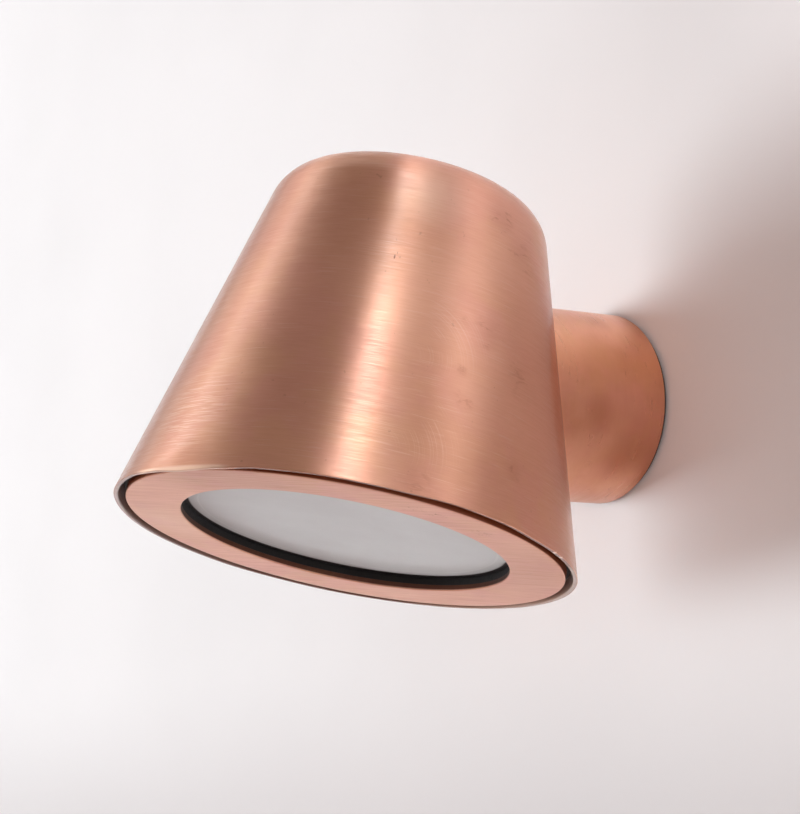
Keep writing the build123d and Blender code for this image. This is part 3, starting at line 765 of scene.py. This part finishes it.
# Trim ring: a flat copper flange with softened edges on a threaded skirt
ring = {
    "proud": 0.2,
    "outer": 54.5,
    "opening": 40.8,
    "thick": 2.5,
    "ledge": 1.5,
    "outerEdge": 0.3,
    "innerEdge": 0.25,
    "backEdge": 0.2,
    "skirt": 50.0,
    "skirtWall": 3.0,
    "skirtTop": 8.3,
    "skirtEdge": 0.3,
    "threadFrom": 2.8,
    "threadTo": 7.9,
    "pitch": 1.5,
    "threadDepth": 0.7,
    # how wide the groove is and how steep its sides are, and how far it takes to run out
    "groove": (2.6, 6),
    "threadEnd": 0.5,
    "threadStep": 0.12,
    "longest": 4,
    "steps": 320,
    # three scratched spots beside the opening, how far each reaches, how strong and how fine
    "scratches": ((0.0452, -0.0136, 0), (0.0473, -0.0078, 0), (0.0468, 0.0065, 0)),
    "scratchForm": (0.004, 0.7, 260),
    # in metres, for its painted shade: where its dark rim starts, its underside ends, and the shaded walls above
    # it begin
    "rimRadius": (0.0536, 0.0540),
    "underHeight": (-0.0001, 0.0001),
    "gapHeight": (0.0, 0.0003),
}


def ringThread(radius, height, turn):
    # a right-hand groove cut into the skirt, running out at both ends
    if abs(radius - ring["skirt"]) > 0.01 or not ring["threadFrom"] < height < ring["threadTo"]:
        return radius, height
    phase = (height / ring["pitch"] - turn / (2 * math.pi)) % 1
    width, steepness = ring["groove"]
    groove = min(1, max(0, width - steepness * abs(phase - 0.5)))
    left = min(height - ring["threadFrom"], ring["threadTo"] - height)
    ends = min(1, left / ring["threadEnd"])
    return radius - ring["threadDepth"] * groove * ends, height


def ringFinish():
    finish = Copper("ringCopper", 40, 0.35)
    # painted shade on the near side of the face
    finish.clouds([((0.020, -0.044, 0), 0.034, 0.3, "smear")])
    finish.brush(finish.place((40, 1400, 40), (0, 0, -25)), 0.00001, (0.3, 0.42), 0.14)
    # painted shade on the face at the right end
    finish.clouds([((0.0300, 0.0360, 0), 0.036, 0.26, "mark")])
    for spot in ring["scratches"]:
        finish.scribble(spot, *ring["scratchForm"])
    finish.specks(0.2)
    radius, height = finish.radius()
    outside = finish.span(radius, *ring["rimRadius"])
    # painted highlight on the face at the left end
    finish.clouds([((-0.036, -0.030, 0), 0.022, 0.3, "pale")])
    # painted shade on the walls above the face, darkest and duller on the outer wall in the gap
    finish.smear(finish.span(height, *ring["gapHeight"]) * 0.9, "bore")
    finish.dull(finish.span(height, *ring["underHeight"]) * outside * 0.9, "gap")
    return finish.done()


def makeRing():
    low = -ring["proud"]
    top = low + ring["thick"]
    seat = low + ring["ledge"]
    bore = ring["skirt"] - ring["skirtWall"]
    section = soften([
        (ring["opening"], low, ring["innerEdge"]),
        (ring["outer"], low, ring["outerEdge"]),
        (ring["outer"], top, ring["backEdge"]),
        (ring["skirt"], top, 0),
        (ring["skirt"], ring["skirtTop"], ring["skirtEdge"]),
        (bore, ring["skirtTop"], ring["skirtEdge"]),
        (bore, seat, 0),
        (ring["opening"], seat, 0),
    ], closed=True)
    fine = []
    for a, b in zip(section, section[1:] + section[:1]):
        longest = ring["threadStep"] if a[0] == b[0] == ring["skirt"] else ring["longest"]
        steps = int(math.hypot(b[0] - a[0], b[1] - a[1]) / longest) + 1
        fine.append(a)
        for k in range(1, steps):
            t = k / steps
            fine.append((a[0] + (b[0] - a[0]) * t, a[1] + (b[1] - a[1]) * t, False))
    piece = turnPiece("trimRing", fine, ring["steps"], shadeFrame, True, ringThread)
    dress(piece, "trim", ringFinish(), "trim_ring")


makeRing()
print("trim ring is turned")


def finishNode(names, finish):
    for name in names:
        nodes[name].data.materials.clear()
        nodes[name].data.materials.append(finish)


def plainFinish(name, tones, rough, scale=180, depth=0.00002, fixed=None):
    # two tones in soft clouds, and a fine grain
    coat = Finish(name, fixed)
    cloud = coat.noise(coat.place(), scale * 0.25, 3, 0.5)
    grain = coat.noise(coat.place(), scale * 6, 3, 0.6)
    coat.feed({
        "Base Color": coat.blend(coat.span(cloud, 0.3, 0.7), *map(rgb, tones)),
        "Roughness": coat.span(grain + cloud, 0.7, 1.3, rough, "LINEAR"),
        "Normal": coat.bump(grain, depth, 0.4),
    })
    return coat.block


# Stem: smooth and blotchy copper, with soft brown clouds, painted shade below and at the top, and a painted
# highlight band
stem = {
    "patches": 60,
    "roughness": (0.27, 0.37),
    # in metres: heights between which painted shade darkens it below and above, and the painted highlight band
    # between
    "below": (0.006, -0.018),
    "above": (0.013, 0.022),
    "highlightHeight": 0.009,
    "highlightReach": 0.012,
    "clouds": [
        ((0.0219, -0.0228, -0.0050), 0.008, 0.4, "mark"),
        ((0.0188, -0.0115, -0.0165), 0.010, 0.5, "mark"),
        ((0.0200, -0.0300, -0.0080), 0.006, 0.3, "mark"),
        ((0.0150, -0.0150, 0.0200), 0.006, 0.3, "mark"),
    ],
}


def stemFinish():
    coat = Copper("stemCopper", stem["patches"], 0.35)
    coat.brush(coat.place((90, 700, 90), spin=(9, 21, 14)), 0.000003, stem["roughness"], 0.02)
    cloud = coat.noise(coat.place(shift=(4, 4, 1)), stem["patches"], 4, 0.55)
    coat.smear(coat.span(cloud, 0.45, 0.7) * 0.25, "mark")
    height = coat.radius()[1]
    # painted shade, darker below and at the top, and a painted highlight band of warmer copper between
    coat.smear(coat.span(height, *stem["below"]) * 0.46, "mark")
    coat.smear(coat.span(height, *stem["above"]) * 0.2, "mark")
    coat.smear(coat.span(abs(height - stem["highlightHeight"]), 0, stem["highlightReach"], (0.6, 0.22)), "glow")
    coat.clouds(stem["clouds"])
    coat.specks(0.12)
    return coat.done()


# What each plain material looks like, and the nodes that take it
metal = {"Metallic": 1.0}
plainLooks = {
    "zincSteel": (
        {"tones": ("b9bcc0", "9fa3a6"), "rough": (0.28, 0.42), "scale": 160, "fixed": metal},
        ["stem_bridge", "grub_screw", "terminal_screws", "block_screws", "nipple_washers", "earth_washer",
         "lamp_bracket", "holder_screws"]),
    "turnedAluminium": (
        {"tones": ("c2c3c5", "aeb0b2"), "rough": (0.32, 0.45), "scale": 140, "fixed": metal},
        ["wall_plate"]),
    "blackCollar": (
        {"tones": ("211713", "2a1e19"), "rough": (0.5, 0.65), "scale": 160, "fixed": {"Specular IOR Level": 0.12}},
        ["mouth_collar"]),
    "turnedBrass": (
        {"tones": ("d8b268", "c29a4c"), "rough": (0.22, 0.36), "scale": 200, "fixed": metal},
        ["terminal_barrels", "threaded_nipple", "nipple_nuts", "earth_tag", "earth_screw", "holder_contacts",
         "lamp_pins"]),
    "padRubber": (
        {"tones": ("3c3534", "453e3c"), "rough": (0.6, 0.75), "scale": 260, "depth": 0.00003},
        ["wall_pad"]),
    "blackRubber": (
        {"tones": ("101012", "19191b"), "rough": (0.5, 0.7), "scale": 260, "depth": 0.00003},
        ["cable_grommet", "lens_gasket"]),
    "paleSilicone": (
        {"tones": ("cfd0ca", "bfc0ba"), "rough": (0.35, 0.5), "scale": 120, "fixed": {"Subsurface Weight": 0.2}},
        ["collar_seal"]),
    "glazedCeramic": (
        {"tones": ("ece8df", "e2dccf"), "rough": (0.12, 0.25), "scale": 90, "depth": 0.00003,
         "fixed": {"Coat Weight": 0.6}},
        ["lampholder_body", "lampholder_cap"]),
    "mouldedPlastic": (
        {"tones": ("e9e9e5", "dededa"), "rough": (0.35, 0.5)},
        ["terminal_block", "nipple_bushes"]),
    "lampWhite": (
        {"tones": ("e4e4e2", "d8d8d6"), "rough": (0.3, 0.42), "scale": 300, "depth": 0.00003},
        ["lamp_shell"]),
    "lampOpal": (
        {"tones": ("f2f1ee", "e8e7e4"), "rough": (0.12, 0.2), "scale": 60, "depth": 0.00001},
        ["lamp_lens"]),
    "lampCap": (
        {"tones": ("e9e8e4", "dedcd8"), "rough": (0.22, 0.34)},
        ["lamp_base"]),
    "brownLead": (
        {"tones": ("4a2716", "5a3220"), "rough": (0.35, 0.5)},
        ["live_lead"]),
    "blueLead": (
        {"tones": ("1d4f93", "285ea6"), "rough": (0.35, 0.5)},
        ["neutral_lead"]),
    "earthLead": (
        {"tones": ("4f8f2c", "c6b92a"), "rough": (0.35, 0.5)},
        ["earth_lead"]),
}
finishNode(["stem_tube"], stemFinish())
for name, (look, names) in plainLooks.items():
    finishNode(names, plainFinish(name, **look))


# Lens: toughened glass with its inner face frosted, pale grey and smooth outside
glass = {
    "tones": ("d0cfcf", "d6d6d6"),
    "fixed": {
        "IOR": 1.5,
        "Coat Weight": 0.2,
        "Coat Roughness": 0.06,
        "Specular IOR Level": 0.3,
        "Subsurface Weight": 1.0,
        "Subsurface Scale": 0.01,
        "Subsurface Radius": (1, 1, 1),
    },
    # the rings on it turn about this spot in the shade's own frame
    "centre": (0.0012, -0.0008, 0.0031),
    # a thin line where the frosting ends, and the dark seal that shows through the clear edge
    "line": "f4f4f2",
    "lineRadius": 0.0372,
    "lineWidth": (0.0001, 0.0004),
    "seal": "171314",
    "sealRadius": (0.0393, 0.0399),
}


def glassFinish():
    coat = Finish("frostedGlass", glass["fixed"])
    mist = coat.noise(coat.place(), 40, 4, 0.6)
    grain = coat.noise(coat.place(), 2600, 2, 0.6)
    tone = coat.blend(coat.span(mist, 0.3, 0.7), *map(rgb, glass["tones"]))
    radius = coat.away(tuple(shadeFrame @ Vector(glass["centre"])))
    line = coat.span(abs(radius - glass["lineRadius"]), *glass["lineWidth"], (1, 0))
    tone = coat.blend(line * 0.2, tone, rgb(glass["line"]))
    tone = coat.blend(coat.span(radius, *glass["sealRadius"]), tone, rgb(glass["seal"]))
    coat.feed({
        "Base Color": tone,
        "Roughness": coat.span(grain, 0.3, 0.7, (0.42, 0.55), "LINEAR"),
        "Normal": coat.bump(grain, 0.000004, 0.3),
    })
    return coat.block


finishNode(["lens_glass"], glassFinish())
print("finishes are on")
